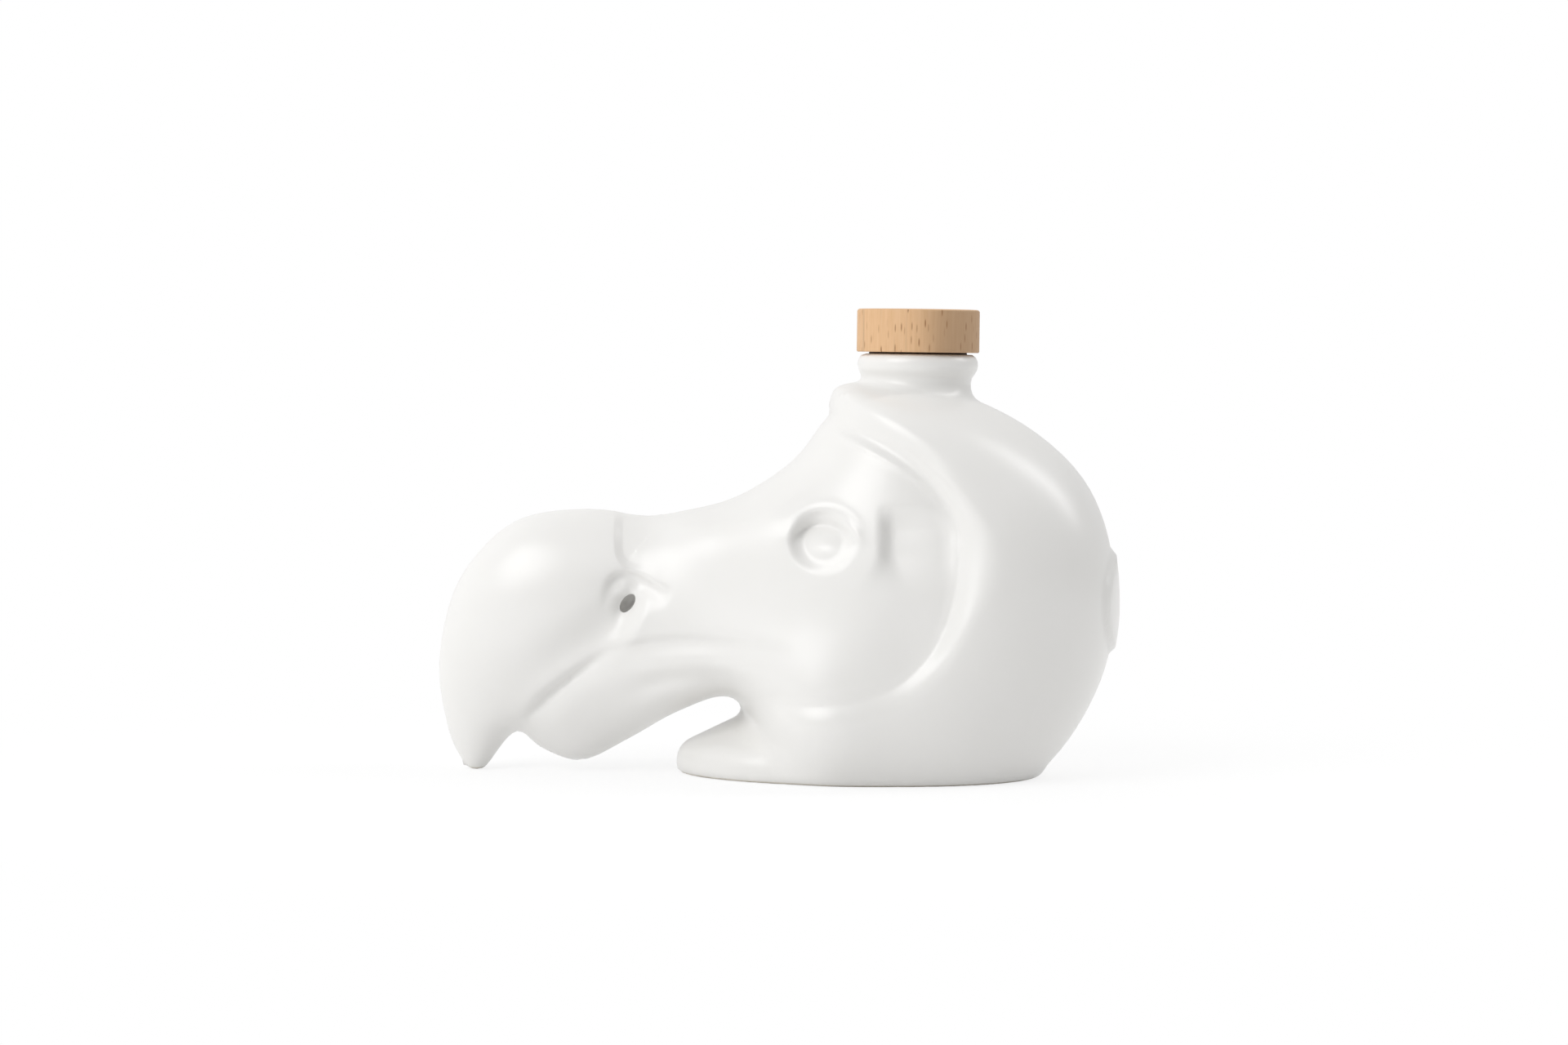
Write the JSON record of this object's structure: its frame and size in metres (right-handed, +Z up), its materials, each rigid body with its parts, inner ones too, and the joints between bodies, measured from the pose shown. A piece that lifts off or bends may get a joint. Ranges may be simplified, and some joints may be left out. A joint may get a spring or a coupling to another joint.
{
  "type": "liquor bottle",
  "caption": "Glazed ceramic liquor bottle cast as a hooded bird's head resting on its foot and beak, with a bead-lipped neck and a beech-topped cork stopper that lifts out.",
  "frame": {"origin": "centre of the overall box, on the plane of the table", "axes": "+X towards the back of the hood with the beak to -X, +Y across the head, +Z up along the neck"},
  "size_m": [0.2209, 0.1032, 0.1522],
  "materials": {
    "glaze": "gloss off-white glaze",
    "beech": "sanded beech with short dark flecks",
    "cork": "pressed cork",
    "washer": "dark brown sealing ring"
  },
  "bodies": {
    "bottle": {"bottle_body": "glaze"},
    "stopper": {"cap_top": "beech", "stopper_shank": "cork", "sealing_washer": "washer"}
  },
  "joints": [
    {"name": "stopper_lift", "type": "slide", "parent": "bottle", "child": "stopper", "axis": [0, 0, 1], "range_m": [0, 0.045]}
  ]
}
